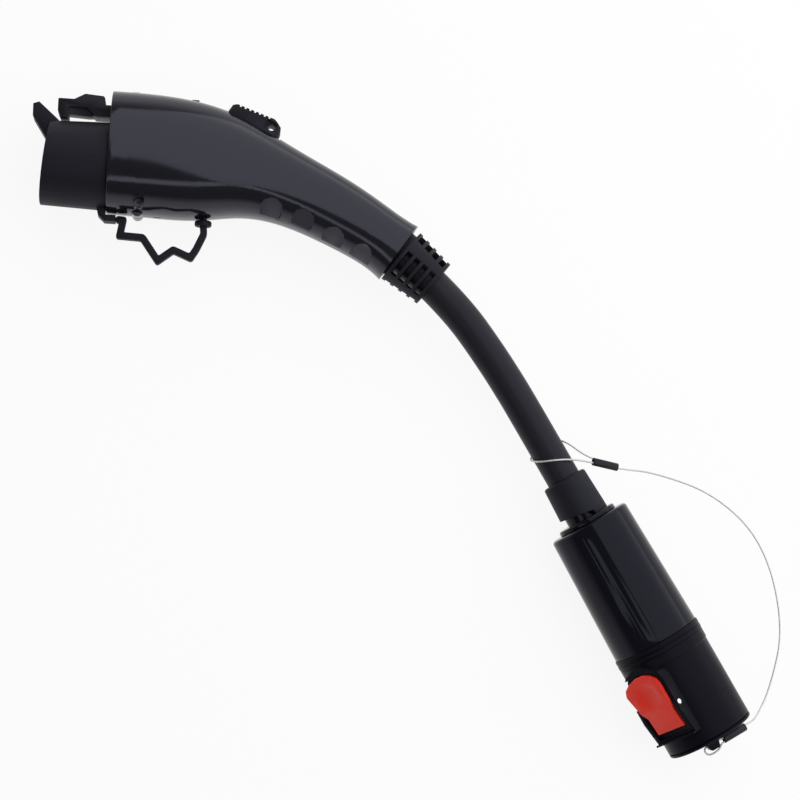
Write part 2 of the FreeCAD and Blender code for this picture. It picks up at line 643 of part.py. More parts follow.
spring_room = value("pivot_y") - 4.1 - SHELF_TOP
solid("latch_spring", coil(2.6, 0.45, spring_room - 1.2, 4),
      ("100", "%r" % (SHELF_TOP + 0.6), "0"), ("1; 0; 0", "-90"))
SWITCH_TOP = 21.5
switch = prism("micro_switch", "XY_Plane", [
    ("77", SWITCH_FLOOR), ("91", SWITCH_FLOOR), ("91", SWITCH_TOP), ("77", SWITCH_TOP)], "6")
prism("plunger_hole", "XZ_Plane", [], "60", body=switch, kind="Pocket", circles=[("85", "0", "1.3")])
plunger = revolve("switch_plunger", [("0", "0"), ("0", "1.25"), ("9.6", "1.25"), ("10", "0.8"),
                                     ("10", "0")])
place(plunger, ("85", "16.3", "0"), ("0; 0; 1", "90"))

fasteners = []
for (across, up), side in SCREWS:
    head = rod(value("screw_head"), (across, up, 6.05 * side), (across, up, 8.2 * side))
    shank = rod(value("screw_rad"), (across, up, -9.5 * side), (across, up, 6.05 * side))
    low, high = sorted((7.2 * side, 9.0 * side))
    cross = [box((across - 1.6, up - 0.35, low), (across + 1.6, up + 0.35, high)),
             box((across - 0.35, up - 1.6, low), (across + 0.35, up + 1.6, high))]
    fasteners.append(trimmed(head.fuse(shank), cross))
solid("shell_screws", Part.makeCompound(fasteners))

# Cable side of the handle: the slotted boot, the clamp and the cable itself.
BOOT_END = "boot_start + 4 * boot_pitch + boot_ring"
boot = revolve("cable_boot", [
    ("8", "cable_rad + gap_slip"), ("-8", "cable_rad + 1.4"), ("-8", "boot_stub"),
    ("boot_start", "boot_stub"), ("boot_start", "boot_near"), (BOOT_END, "boot_far"),
    (BOOT_END, "cable_rad + gap_slip + 0.1"),
])
slots = new_sketch(boot, "XY_Plane", "boot_slots")
for index in range(4):
    left = "boot_start + boot_ring + boot_pitch * %d" % index
    right = "boot_start + boot_pitch * %d" % (index + 1)
    add_outline(slots, [(left, "-8.3"), (right, "-8.3"), (right, "8.3"), (left, "8.3")])
repeat(boot, extrude(boot, slots, "40", kind="Pocket", side="One side"), 4)
place(boot, ("nose_len + spine_straight + spine_rad * sin(%s)" % END_BEND,
             "spine_y - spine_rad * (1 - cos(%s))" % END_BEND, "0"),
      ("0; 0; 1", BOOT_TURN), ("1; 0; 0", "boot_roll"))

SOCKET_AT = Vector(value("socket_x"), value("socket_y"), value("socket_z"))
SOCKET_TURN = math.radians(value("socket_turn"))
SOCKET_DIR = Vector(math.cos(SOCKET_TURN), math.sin(SOCKET_TURN), 0)
SOCKET_SIDE = Vector(-SOCKET_DIR.y, SOCKET_DIR.x, 0)


def at_socket(along, aside, above=0.0):
    """Point in the socket's frame: along its axis, to its right and up."""
    return SOCKET_AT + SOCKET_DIR * along + SOCKET_SIDE * aside + Vector(0, 0, above)


CABLE = [
    ENTRY + INWARD * 45, ENTRY, BOOT_AT + BOOT_DIR * 37.4, at_socket(-101.5, -0.6, 0.8),
    at_socket(-51, 0), at_socket(-4, 0),
]
solid("main_cable", swept([tuple(spot) for spot in CABLE], value("cable_rad"), "cable"))
clamp = revolve("cable_clamp", [
    ("0", "cable_rad + gap_run"), ("0", "13.4"), ("9", "13.4"), ("9", "cable_rad + gap_run")])
CLAMP_AT = ENTRY + INWARD * 33
place(clamp, ("%r" % CLAMP_AT.x, "%r" % CLAMP_AT.y, "0"), ("0; 0; 1", "-%r" % INWARD_TURN))


def on_socket(item, rolled=True):
    """Seats a piece drawn along X on the socket's axis."""
    turns = [("0; 0; 1", "socket_turn")]
    if rolled:
        turns.append(("1; 0; 0", "socket_roll"))
    place(item, ("socket_x", "socket_y", "socket_z"), *turns)


sleeve = revolve("cable_sleeve", [
    ("-3.5 - sleeve_len", "cable_rad + gap_run"), ("-3.5 - sleeve_len", "cable_rad + 2.3"),
    ("-2.6 - sleeve_len", "cable_rad + 3.2"), ("-3.5", "cable_rad + 4.2"),
    ("-3.5", "neck_rad + gap_run"), ("-9", "neck_rad + gap_run"), ("-9", "cable_rad + gap_run"),
])
prism("sleeve_slant", "XY_Plane", [("-3.5", "16"), ("4", "16"), ("4", "-16"), ("-8.2", "-16")],
      "60", body=sleeve, kind="Pocket")
on_socket(sleeve, rolled=False)
neck = revolve("gland_neck", [
    ("-8.9", "cable_rad + gap_run"), ("-8.9", "neck_rad"), ("-disc_len", "neck_rad"),
    ("-disc_len", "cable_rad + gap_run")])
disc = revolve("gland_disc", [
    ("-disc_len", "0"), ("-disc_len", "disc_rad - 0.8"), ("-disc_len + 0.8", "disc_rad"),
    ("0", "disc_rad"), ("0", "0")])
barrel = revolve("socket_barrel", [
    ("0", "0"), ("0", "barrel_rear - 1.6"), ("0.5", "barrel_rear - 0.5"), ("1.6", "barrel_rear"),
    ("barrel_len", "barrel_front"), ("barrel_len", "barrel_front - barrel_wall"),
    ("barrel_wall", "barrel_rear - barrel_wall"), ("barrel_wall", "0"),
])
RING_END = "barrel_len + ring_len"
ring = revolve("coupling_ring", [
    ("barrel_len", "ring_rad - 3.4"), ("barrel_len", "ring_rad - 0.5"),
    ("barrel_len + 0.8", "ring_rad"), ("barrel_len + 2.6", "ring_rad"),
    ("barrel_len + 2.8", "ring_rad - 0.4"), ("barrel_len + 3.2", "ring_rad - 0.4"),
    ("barrel_len + 3.4", "ring_rad"), (RING_END + " - 0.4", "ring_rad"),
    (RING_END, "ring_rad - 0.4"), (RING_END, "ring_rad - 3.4"),
])
HOUSE_END = RING_END + " + house_len"
LEVER_X = "(%s + lever_back)" % RING_END
LEVER_WINDOW = "lever_half + gap_slip"
CHEEK = LEVER_WINDOW + " + cheek_wall"
house = revolve("socket_housing", [
    (RING_END, "mouth_rad"), (RING_END, "ring_rad - 0.2"), (RING_END + " + 5.6", "ring_rad - 0.2"),
    (RING_END + " + 6.2", "house_rad"), (HOUSE_END + " - 0.6", "house_rad"),
    (HOUSE_END, "house_rad - 0.6"), (HOUSE_END, "mouth_rad"),
])


def arch(start, half, end):
    """Plan outline with a rounded rear and a straight front."""
    back = [("%s + (%s) * (1 - cos(%d)) * 0.7" % (start, half, turn),
             "(%s) * sin(%d)" % (half, turn)) for turn in (-90, -65, -40, -14, 14, 40, 65, 90)]
    return back + [(end, half), (end, "-(%s)" % half)]


prism("latch_block", "XY_Plane", arch(RING_END + " + 1.0", CHEEK, RING_END + " + 46"), "12",
      body=house, side="One side", lift="lever_out - 9.4")
prism("mouth_clear", "YZ_Plane", [], "60", body=house, kind="Pocket", side="One side", back=True,
      circles=[("0", "0", "mouth_rad")], lift=RING_END)
prism("block_slope", "XZ_Plane", [
    (RING_END + " + 31", "lever_out + 2.7"), (RING_END + " + 45", "lever_out + 0.2"),
    (RING_END + " + 45", "lever_out + 6"), (RING_END + " + 31", "lever_out + 6")],
    "80", body=house, kind="Pocket")
prism("lever_room", "XY_Plane", arch(RING_END + " + 4.6", LEVER_WINDOW, RING_END + " + 43.4"),
      "20", body=house, kind="Pocket", side="One side", back=True, lift="mouth_rad + 1")
prism("hook_window", "XY_Plane", [
    (LEVER_X + " - 3.4", "-(%s)" % LEVER_WINDOW), (LEVER_X + " + 3.4", "-(%s)" % LEVER_WINDOW),
    (LEVER_X + " + 3.4", LEVER_WINDOW), (LEVER_X + " - 3.4", LEVER_WINDOW)],
    "20", body=house, kind="Pocket", side="One side", back=True, lift="mouth_rad - 4")
prism("pin_bore", "XZ_Plane", [], "60", body=house, kind="Pocket",
      circles=[(LEVER_X, "lever_out", "lever_pin_rad + gap_run")])

insert = revolve("socket_insert", [
    (RING_END, "0"), (RING_END, "mouth_rad - gap_run"),
    (RING_END + " + insert_len", "mouth_rad - gap_run"), (RING_END + " + insert_len", "0")])
PINS = [(name.replace("contact", "socket_pin"), up, across, bore + " - gap_run")
        for name, up, across, bore in CONTACTS]
prism("insert_holes", "YZ_Plane", [], "400", body=insert, kind="Pocket", circles=[
    (up, across, radius + " + gap_run") for _, up, across, radius in PINS])
for piece in (neck, disc, barrel, ring, house, insert):
    on_socket(piece)
for label, up, across, radius in PINS:
    pin_body = revolve(label, [
        (RING_END + " - 4", "0"), (RING_END + " - 4", radius),
        (RING_END + " + insert_len + pin_len - 1.2", radius),
        (RING_END + " + insert_len + pin_len", radius + " - 0.8"),
        (RING_END + " + insert_len + pin_len", "0")])
    text = "placement(vector(socket_x; socket_y; socket_z); %s) * placement(vector(0; %s; %s); %s)"
    spin = "rotation(vector(0; 0; 1); socket_turn) * rotation(vector(1; 0; 0); socket_roll)"
    still = "rotation(vector(0; 0; 1); 0)"
    pin_body.setExpression("Placement", link(text % (spin, up, across, still)))

LEVER_START = RING_END + " + 5.2"
lock = prism("lock_lever", "XZ_Plane", [
    (LEVER_START, "lever_out + 1.4"), (LEVER_START, "lever_out + 3.6"),
    (LEVER_START + " + 1.6", "lever_out + 4.4"), (LEVER_START + " + 20.2", "lever_out + 4.4"),
    (LEVER_X + " + 2.6", "lever_out + 2.4"), (LEVER_X + " + 13.2", "lever_out + 1.2"),
    (LEVER_X + " + 13.2", "lever_out - 1.2"), (LEVER_X + " + 3.0", "lever_out - 1.2"),
    (LEVER_X + " + 2.4", "lever_out - 2.4"), (LEVER_X + " - 2.4", "lever_out - 2.4"),
    (LEVER_X + " - 3.0", "lever_out + 1.0"),
], "lever_half * 2")
trim = new_sketch(lock, "XY_Plane", "lever_plan")
add_outline(trim, [("0", "-60"), ("200", "-60"), ("200", "60"), ("0", "60")])
plan = arch(LEVER_START, "lever_half", LEVER_X + " - 1.5")
plan[-2:] = [(LEVER_X + " - 3.5", "lever_half"), (LEVER_X + " + 2.6", "lever_half - 1.6"),
             (LEVER_X + " + 13.2", "lever_half - 1.6"), (LEVER_X + " + 13.2", "-lever_half + 1.6"),
             (LEVER_X + " + 2.6", "-lever_half + 1.6"), (LEVER_X + " - 3.5", "-lever_half")]
add_outline(trim, plan)
extrude(lock, trim, "200", kind="Pocket")
prism("lever_bore", "XZ_Plane", [], "60", body=lock, kind="Pocket",
      circles=[(LEVER_X, "lever_out", "lever_pin_rad + gap_run")])
dish = lock.newObject("PartDesign::SubtractiveSphere", "thumb_dish")
dish.AttachmentSupport = [(lock.Origin.OriginFeatures[3], "")]
dish.MapMode = "FlatFace"
dish.Radius = 20
dish.setExpression("AttachmentOffset.Base.x", link(LEVER_START + " + 12.2"))
dish.setExpression("AttachmentOffset.Base.z", link("lever_out + 4.4 + 18.4"))
lock.Tip = dish
on_socket(lock)
axle = prism("lever_pin", "XZ_Plane", [], "(%s) * 2" % CHEEK,
             circles=[(LEVER_X, "lever_out", "lever_pin_rad")])
on_socket(axle)
LEAF_LOW = "mouth_rad + 1.03"
LEAF_TOP = "lever_out + 1"
leaf = prism("lever_spring", "XZ_Plane", [
    (LEVER_START + " + 3", LEAF_LOW), (LEVER_START + " + 9", LEAF_LOW),
    (LEVER_START + " + 15", LEAF_TOP + " - 0.4"), (LEVER_START + " + 17", LEAF_TOP + " - 0.4"),
    (LEVER_START + " + 17", LEAF_TOP), (LEVER_START + " + 14.8", LEAF_TOP),
    (LEVER_START + " + 8.8", LEAF_LOW + " + 0.4"), (LEVER_START + " + 3", LEAF_LOW + " + 0.4"),
], "6")
on_socket(leaf)

CAP_START = HOUSE_END + " + 0.2"
lid = revolve("socket_cap", [
    (CAP_START + " - cap_plug_len", "mouth_rad - gap_slip - 1.8"),
    (CAP_START + " - cap_plug_len", "mouth_rad - gap_slip"),
    (CAP_START + " - 4.6", "mouth_rad - gap_slip"), (CAP_START + " - 4.6", "mouth_rad - 1.4"),
    (CAP_START + " - 2.6", "mouth_rad - 1.4"), (CAP_START + " - 2.6", "mouth_rad - gap_slip"),
    (CAP_START, "mouth_rad - gap_slip"), (CAP_START, "house_rad"),
    (CAP_START + " + cap_flange - 0.5", "house_rad"),
    (CAP_START + " + cap_flange", "house_rad - 0.5"), (CAP_START + " + cap_flange", "0"),
    (CAP_START, "0"), (CAP_START, "mouth_rad - gap_slip - 1.8"),
])
FLANGE = CAP_START + " + cap_flange"
prism("eyelet", "XY_Plane", [
    (CAP_START + " + 0.4", "-5.8"), (CAP_START + " + 0.4", "3.4"), (FLANGE, "3.4"),
    (FLANGE + " + eyelet_len - 1", "1.8"), (FLANGE + " + eyelet_len", "0.8"),
    (FLANGE + " + eyelet_len", "-3.4"), (FLANGE + " + eyelet_len - 1", "-4.4"), (FLANGE, "-5.8"),
], "6", body=lid)
prism("eyelet_hole", "XZ_Plane", [], "20", body=lid, kind="Pocket",
      circles=[(FLANGE + " + 4", "0", "1.7")])
on_socket(lid, rolled=False)
seal = revolve("cap_seal", [
    (CAP_START + " - 4.5", "mouth_rad - 1.35"), (CAP_START + " - 4.5", "mouth_rad - 0.1"),
    (CAP_START + " - 2.7", "mouth_rad - 0.1"), (CAP_START + " - 2.7", "mouth_rad - 1.35")])
on_socket(seal, rolled=False)

# Lanyard: one steel rope with a loop at each end, closed by two crimp sleeves.
ROPE = value("rope_rad")
STRAND = ROPE + 0.1
EYE_X = value(FLANGE + " + 4")


def crimp(label, start, end):
    """Flattened sleeve round two strands, and the two strands' end points."""
    run = end - start
    azimuth = math.atan2(run.y, run.x)
    slope = math.degrees(math.asin(-run.z / run.Length))
    aside = Vector(-math.sin(azimuth), math.cos(azimuth), 0) * STRAND
    length = run.Length
    shapes = []
    for radius in (ROPE + 1.05, ROPE + 0.08):
        rods = [rod(radius, (0, side * STRAND, 0), (length, side * STRAND, 0)) for side in (1, -1)]
        block = box((0, -STRAND, -radius), (length, STRAND, radius))
        shapes.append(joined(rods[0], [rods[1], block]).removeSplitter())
    solid(label, shapes[0].cut(shapes[1]), ("%r" % start.x, "%r" % start.y, "%r" % start.z),
          ("0; 0; 1", "%r" % math.degrees(azimuth)), ("0; 1; 0", "%r" % slope))
    return aside


def round_cable():
    """Corners of the loop that the rope takes round the cable."""
    snug = value("cable_rad") + ROPE + 0.35
    corners = []
    for turn, along in ((50, -36), (101, -40.5), (152, -44.5), (203, -47.5), (254, -49),
                        (305, -49), (350, -48)):
        angle = math.radians(turn)
        reach = snug / math.cos(math.radians(25.5))
        corners.append(at_socket(along, reach * math.cos(angle), reach * math.sin(angle)))
    return corners


crimp_in = at_socket(-28.5, 20.1, -1.4)
crimp_out = at_socket(-18.3, 32.5, -8.4)
crimp_out = crimp_in + (crimp_out - crimp_in).normalize() * value("crimp_len")
lean = (crimp_out - crimp_in).normalize()
aside = crimp("crimp_sleeve_cable", crimp_in, crimp_out)
eye_in = at_socket(EYE_X + 1.6, 5.6, -0.6)
eye_out = at_socket(EYE_X + 2.6, 20.2, -6.6)
eye_out = eye_in + (eye_out - eye_in).normalize() * value("crimp_len")
rise = (eye_out - eye_in).normalize()
eye_aside = crimp("crimp_sleeve_cap", eye_in, eye_out)

loop = round_cable()
LANYARD = [crimp_out + aside - lean, crimp_in + aside - lean * 2.2]
LANYARD += loop[::-1]
LANYARD += [
    crimp_in - aside - lean * 2.2, crimp_out - aside + lean * 3.5,
    at_socket(-6.0, 50.4, -16.4), at_socket(22.9, 75.7, -14.4), at_socket(61.6, 86.4, -14.5),
    at_socket(109.2, 72.6, -17.7), at_socket(135.9, 47.3, -19.4), at_socket(145.2, 30.8, -14.9),
    eye_out + eye_aside + rise * 5,
    eye_in + eye_aside - rise * 1.8, at_socket(EYE_X, 2.0, 0),
    at_socket(EYE_X, -7.6, 0), at_socket(EYE_X + 5.4, -6.8, 0), at_socket(EYE_X + 5.2, 1.0, 0),
    eye_in - eye_aside - rise * 1.8, eye_out - eye_aside - rise,
]
SHORT = {1: 2.0, 9: 2.0, 10: 3.0, 17: 2.2, 18: 1.6, 23: 1.6}
solid("lanyard_rope", swept([tuple(spot) for spot in LANYARD], ROPE, "lanyard", SHORT))

doc.recompute()
os.makedirs("parts", exist_ok=True)
for item in doc.Objects:
    if "Invalid" in item.State or "Error" in item.State:
        raise RuntimeError("%s did not recompute: %s" % (item.Label, item.State))
for item in doc.Objects:
    if item.TypeId not in ("PartDesign::Body", "Part::Feature"):
        continue
    shape = item.Shape
    if shape.isNull() or not shape.isValid() or not shape.Solids:
        raise RuntimeError("%s has no sound solid" % item.Label)
    shape.exportStep("parts/%s.step" % item.Label)
    print("%-22s %10.1f cubic mm" % (item.Label, shape.Volume))
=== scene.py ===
import json
import math

import bpy
from mathutils import Matrix, Vector


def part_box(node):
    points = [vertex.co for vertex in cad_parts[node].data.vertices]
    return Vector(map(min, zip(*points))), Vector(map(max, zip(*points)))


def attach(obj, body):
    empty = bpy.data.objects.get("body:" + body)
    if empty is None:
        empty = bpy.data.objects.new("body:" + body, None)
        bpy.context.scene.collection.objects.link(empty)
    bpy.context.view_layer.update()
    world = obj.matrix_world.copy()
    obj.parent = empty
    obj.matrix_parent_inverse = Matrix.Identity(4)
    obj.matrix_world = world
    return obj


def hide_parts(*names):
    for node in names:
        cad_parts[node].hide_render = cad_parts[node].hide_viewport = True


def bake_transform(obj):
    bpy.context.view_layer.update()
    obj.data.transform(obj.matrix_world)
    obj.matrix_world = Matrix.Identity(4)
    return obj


# Charging adapter lying on its side: pistol-grip plug, short cable and a round
# socket with a red release lever. X runs from the plug's nose into the grip, Y to
# the thumb side and Z up. Everything is in metres.

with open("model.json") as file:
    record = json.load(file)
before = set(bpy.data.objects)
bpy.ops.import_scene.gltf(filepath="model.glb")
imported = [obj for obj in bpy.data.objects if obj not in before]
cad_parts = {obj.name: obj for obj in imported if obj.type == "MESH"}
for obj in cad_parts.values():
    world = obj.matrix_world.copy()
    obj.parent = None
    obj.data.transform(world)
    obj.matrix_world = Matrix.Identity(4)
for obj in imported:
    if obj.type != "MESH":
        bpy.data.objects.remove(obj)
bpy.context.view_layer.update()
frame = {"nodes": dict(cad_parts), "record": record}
NODES = frame["nodes"]
BODY_OF = {node: body for body, members in frame["record"]["behaviour"]["bodies"].items()
           for node in members}
MM = 0.001


def only(piece):
    """Select one piece alone and make it the active one."""
    bpy.ops.object.select_all(action="DESELECT")
    piece.select_set(True)
    bpy.context.view_layer.objects.active = piece


def edit(piece, select_mode="VERT"):
    """Go into edit mode on one piece, in the given selection mode."""
    only(piece)
    bpy.ops.object.mode_set(mode="EDIT")
    bpy.ops.mesh.select_mode(type=select_mode)


def leave_edit():
    bpy.ops.object.mode_set(mode="OBJECT")


bpy.ops.object.select_all(action="DESELECT")


# Finishes.

def value_group(name, build):
    """Node group that gives one number from the object's own coordinates."""
    group = bpy.data.node_groups.new(name, "ShaderNodeTree")
    group.interface.new_socket("Scale", in_out="INPUT", socket_type="NodeSocketFloat")
    group.interface.new_socket("Value", in_out="OUTPUT", socket_type="NodeSocketFloat")
    inside = group.nodes.new("NodeGroupInput")
    outside = group.nodes.new("NodeGroupOutput")
    coordinates = group.nodes.new("ShaderNodeTexCoord")
    result = build(group, coordinates.outputs["Object"], inside.outputs["Scale"])
    group.links.new(result, outside.inputs["Value"])
    return group


def moulded_grain(group, place, scale):
    """Fine pebbled texture of a moulded surface."""
    noise = group.nodes.new("ShaderNodeTexNoise")
    noise.inputs["Detail"].default_value = 3.0
    noise.inputs["Roughness"].default_value = 0.6
    group.links.new(place, noise.inputs["Vector"])
    group.links.new(scale, noise.inputs["Scale"])
    return noise.outputs["Fac"]


def handling_marks(group, place, scale):
    """Slow patches where the finish is a little duller or cleaner."""
    noise = group.nodes.new("ShaderNodeTexNoise")
    noise.inputs["Detail"].default_value = 2.0
    group.links.new(place, noise.inputs["Vector"])
    group.links.new(scale, noise.inputs["Scale"])
    spread = group.nodes.new("ShaderNodeMapRange")
    spread.inputs["From Min"].default_value = 0.35
    spread.inputs["From Max"].default_value = 0.65
    group.links.new(noise.outputs["Fac"], spread.inputs["Value"])
    return spread.outputs["Result"]


GRAIN = value_group("moulded grain", moulded_grain)
MARKS = value_group("handling marks", handling_marks)


def finish(name, colour, roughness, metallic=0.0, grain=0.0, grain_scale=4000.0, spread=0.04,
           specular=0.5, tint=(0.80, 0.81, 1.0)):
    """Plain finish whose gloss varies a little, with a moulded grain where asked."""
    made = bpy.data.materials.new(name)
    made.use_nodes = True
    tree = made.node_tree
    shader = tree.nodes["Principled BSDF"]
    shader.inputs["Base Color"].default_value = (*colour, 1.0)
    shader.inputs["Metallic"].default_value = metallic
    shader.inputs["Specular IOR Level"].default_value = specular
    shader.inputs["Specular Tint"].default_value = (*(tint if metallic < 0.5 else (1, 1, 1)), 1.0)
    marks = tree.nodes.new("ShaderNodeGroup")
    marks.node_tree = MARKS
    marks.inputs["Scale"].default_value = 60.0
    gloss = tree.nodes.new("ShaderNodeMapRange")
    gloss.inputs["To Min"].default_value = roughness - spread / 2
    gloss.inputs["To Max"].default_value = roughness + spread / 2
    tree.links.new(marks.outputs["Value"], gloss.inputs["Value"])
    tree.links.new(gloss.outputs["Result"], shader.inputs["Roughness"])
    if grain:
        texture = tree.nodes.new("ShaderNodeGroup")
        texture.node_tree = GRAIN
        texture.inputs["Scale"].default_value = grain_scale
        bump = tree.nodes.new("ShaderNodeBump")
        bump.inputs["Strength"].default_value = grain
        bump.inputs["Distance"].default_value = 0.0001
        tree.links.new(texture.outputs["Value"], bump.inputs["Height"])
        tree.links.new(bump.outputs["Normal"], shader.inputs["Normal"])
    return made


HANDLE_BLACK = finish("satin black handle plastic", (0.008, 0.008, 0.011), 0.13, grain=0.04,
                      specular=0.46)
NOSE_GREY = finish("dark grey nose plastic", (0.016, 0.016, 0.018), 0.4, grain=0.15, specular=0.3)
CAP_RUBBER = finish("matt black cap rubber", (0.009, 0.009, 0.013), 0.55, grain=0.30,
                    grain_scale=3000.0, specular=0.22)
CABLE_JACKET = finish("dark grey cable jacket", (0.011, 0.011, 0.014), 0.42, grain=0.15,
                      specular=0.22)
BLACK_TRIM = finish("black latch plastic", (0.010, 0.010, 0.012), 0.42, grain=0.20, specular=0.25)
SOCKET_BLACK = finish("satin black socket plastic", (0.005, 0.005, 0.008), 0.34, grain=0.08,
                      specular=0.07)
GLOSS_BLACK = finish("glossy black barrel", (0.005, 0.005, 0.009), 0.10, spread=0.02,
                     specular=0.17)
RED_LEVER = finish("red lever plastic", (0.86, 0.036, 0.018), 0.36, grain=0.08, specular=0.3,
                   tint=(1.0, 1.0, 1.0))
SEAL = finish("grey seal rubber", (0.05, 0.05, 0.055), 0.6, grain=0.2)
SCREW_STEEL = finish("dull screw steel", (0.16, 0.16, 0.17), 0.42, metallic=1.0)
STEEL = finish("bright steel", (0.62, 0.62, 0.63), 0.22, metallic=1.0)
BRASS = finish("silvered contact metal", (0.72, 0.70, 0.66), 0.25, metallic=1.0)
ROPE_STEEL = finish("thin steel rope", (0.62, 0.62, 0.61), 0.35, metallic=0.6)

# Near-black finish for the parting line's band: painted shade of the gap between the halves.
PAINTED_SEAM_SHADE = finish("seam shadow", (0.002, 0.002, 0.002), 0.8, spread=0.0)

FINISH_OF = {
    "handle_shell_near": HANDLE_BLACK, "handle_shell_far": HANDLE_BLACK,
    "nose_shell": NOSE_GREY, "contact_carrier": NOSE_GREY, "contact_l1": BRASS,
    "contact_l2": BRASS, "contact_earth": BRASS, "contact_pilot": BRASS,
    "contact_proximity": BRASS, "nose_cap": CAP_RUBBER, "nose_cap_strap": CAP_RUBBER,
    "strap_stud": BLACK_TRIM, "latch_lever": BLACK_TRIM, "latch_pivot_pin": STEEL,
    "thumb_pad": CAP_RUBBER, "latch_spring": STEEL, "micro_switch": BLACK_TRIM,
    "switch_plunger": BLACK_TRIM, "shell_screws": SCREW_STEEL, "cable_boot": CAP_RUBBER,
    "main_cable": CABLE_JACKET, "cable_clamp": BLACK_TRIM, "cable_sleeve": CAP_RUBBER,
    "gland_neck": GLOSS_BLACK, "gland_disc": GLOSS_BLACK, "socket_barrel": GLOSS_BLACK,
    "coupling_ring": SOCKET_BLACK, "socket_housing": SOCKET_BLACK,
    "socket_insert": NOSE_GREY, "socket_pin_l1": BRASS, "socket_pin_l2": BRASS,
    "socket_pin_earth": BRASS, "socket_pin_pilot": BRASS, "socket_pin_proximity": BRASS,
    "lock_lever": RED_LEVER, "lever_pin": STEEL, "lever_spring": STEEL,
    "socket_cap": SOCKET_BLACK, "cap_seal": SEAL, "crimp_sleeve_cable": BLACK_TRIM,
    "crimp_sleeve_cap": BLACK_TRIM, "lanyard_rope": ROPE_STEEL,
}
for node, made in FINISH_OF.items():
    NODES[node].data.materials.clear()
    NODES[node].data.materials.append(made)


# Cable and rope.

def nurbs_line(name, points, tilts=None):
    """Smooth line that follows a cord's corners from its first point to its last."""
    data = bpy.data.curves.new(name, "CURVE")
    data.dimensions = "3D"
    data.resolution_u = 24
    spline = data.splines.new("NURBS")
    spline.points.add(len(points) - 1)
    for point, place in zip(spline.points, points):
        point.co = (*place, 1.0)
    for point, tilt in zip(spline.points, tilts or []):
        point.tilt = tilt
    spline.order_u = 3
    spline.use_endpoint_u = True
    line = bpy.data.objects.new(name, data)
    bpy.context.scene.collection.objects.link(line)
    return line


def as_mesh(item):
    only(item)
    bpy.ops.object.convert(target="MESH")
    return item


def centreline(points):
    """The line's own points, close together, for the cord's length."""
    line = as_mesh(nurbs_line("cord_centreline", points))
    path = [tuple(vertex.co) for vertex in line.data.vertices]
    bpy.data.objects.remove(line)
    return path


CABLE_RADIUS = 0.00975
CABLE_LINE = [
    (0.1948, -0.0374, 0.0), (0.2262, -0.0619, 0.0), (0.2572, -0.1007, -0.0008),
    (0.2848, -0.1430, -0.0016), (0.3100, -0.1827, -0.0016),
]
cable = nurbs_line("charging_cable", CABLE_LINE)
cable.data.bevel_depth = CABLE_RADIUS
cable.data.bevel_resolution = 12
cable.data.resolution_u = 32
cable.data.materials.append(CABLE_JACKET)
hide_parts("main_cable")
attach(cable, "adapter")

ROPE_RADIUS = 0.00055
ROPE_LINE = [
    (0.3284, -0.1524, -0.0094), (0.3119, -0.1504, -0.0021),
    # round the cable
    (0.2962, -0.1393, -0.0036), (0.2916, -0.1411, -0.0113), (0.2831, -0.1465, -0.0129),
    (0.2775, -0.1518, -0.0062), (0.2795, -0.1541, 0.0039), (0.2885, -0.1531, 0.0100),
    (0.2992, -0.1516, 0.0074), (0.3117, -0.1517, -0.0021), (0.3324, -0.1542, -0.0112),
    # down to the floor and round to the cap
    (0.3514, -0.1540, -0.0180), (0.3883, -0.1649, -0.0160), (0.4181, -0.1918, -0.0161),
    (0.4319, -0.2394, -0.0193), (0.4249, -0.2755, -0.0210), (0.4159, -0.2922, -0.0165),
    (0.4115, -0.2942, -0.0105),
    # through the cap's eyelet and back
    (0.3921, -0.3047, -0.0015), (0.3900, -0.3051, -0.0016), (0.3819, -0.3102, -0.0016),
    (0.3854, -0.3144, -0.0016), (0.3919, -0.3100, -0.0016), (0.3927, -0.3059, -0.0015),
    (0.4072, -0.2980, -0.0083),
]
ROPE_STRANDS = 6
ROPE_LAY = 0.007


def strand_ring(name, radius, strands):
    """Cross-section of a twisted rope: one bulge for each outer strand."""
    data = bpy.data.curves.new(name, "CURVE")
    data.dimensions = "2D"
    spline = data.splines.new("POLY")
    count = strands * 4
    spline.points.add(count - 1)
    for index, point in enumerate(spline.points):
        turn = 2 * math.pi * index / count
        reach = radius * (0.93 + 0.07 * math.cos(strands * turn))
        point.co = (reach * math.cos(turn), reach * math.sin(turn), 0.0, 1.0)
    spline.use_cyclic_u = True
    ring = bpy.data.objects.new(name, data)
    bpy.context.scene.collection.objects.link(ring)
    return ring


def twist_along(points, lay):
    """Turn of the strands at each corner, from the length passed so far."""
    turns = [0.0]
    for first, second in zip(points, points[1:]):
        turns.append(turns[-1] + (Vector(second) - Vector(first)).length / lay * 2 * math.pi)
    return turns


ring = strand_ring("rope_section", ROPE_RADIUS, ROPE_STRANDS)
rope = nurbs_line("steel_lanyard", ROPE_LINE, twist_along(ROPE_LINE, ROPE_LAY))
rope.data.bevel_mode = "OBJECT"
rope.data.bevel_object = ring
rope.data.use_fill_caps = True
rope.data.materials.append(ROPE_STEEL)
as_mesh(rope)
bpy.data.objects.remove(ring)
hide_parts("lanyard_rope")
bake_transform(rope)
centreline(ROPE_LINE)


# Softened copies of the moulded pieces.

CREASE = math.radians(35)
WELD = 0.002 * MM
FLAT = math.radians(0.4)


def copy_of(node, name):
    """Separate copy of a CAD piece with its split edges merged."""
    only(NODES[node])
    bpy.ops.object.duplicate()
    piece = bpy.context.view_layer.objects.active
    piece.name = name
    for key in [key for key in piece.keys() if key.startswith("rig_")]:
        del piece[key]
    piece.parent = None
    bpy.ops.object.mode_set(mode="EDIT")
    bpy.ops.mesh.select_all(action="SELECT")
    bpy.ops.mesh.remove_doubles(threshold=WELD)
    if piece.data.has_custom_normals:
        bpy.ops.mesh.customdata_custom_splitnormals_clear()
    bpy.ops.object.mode_set(mode="OBJECT")
    return piece


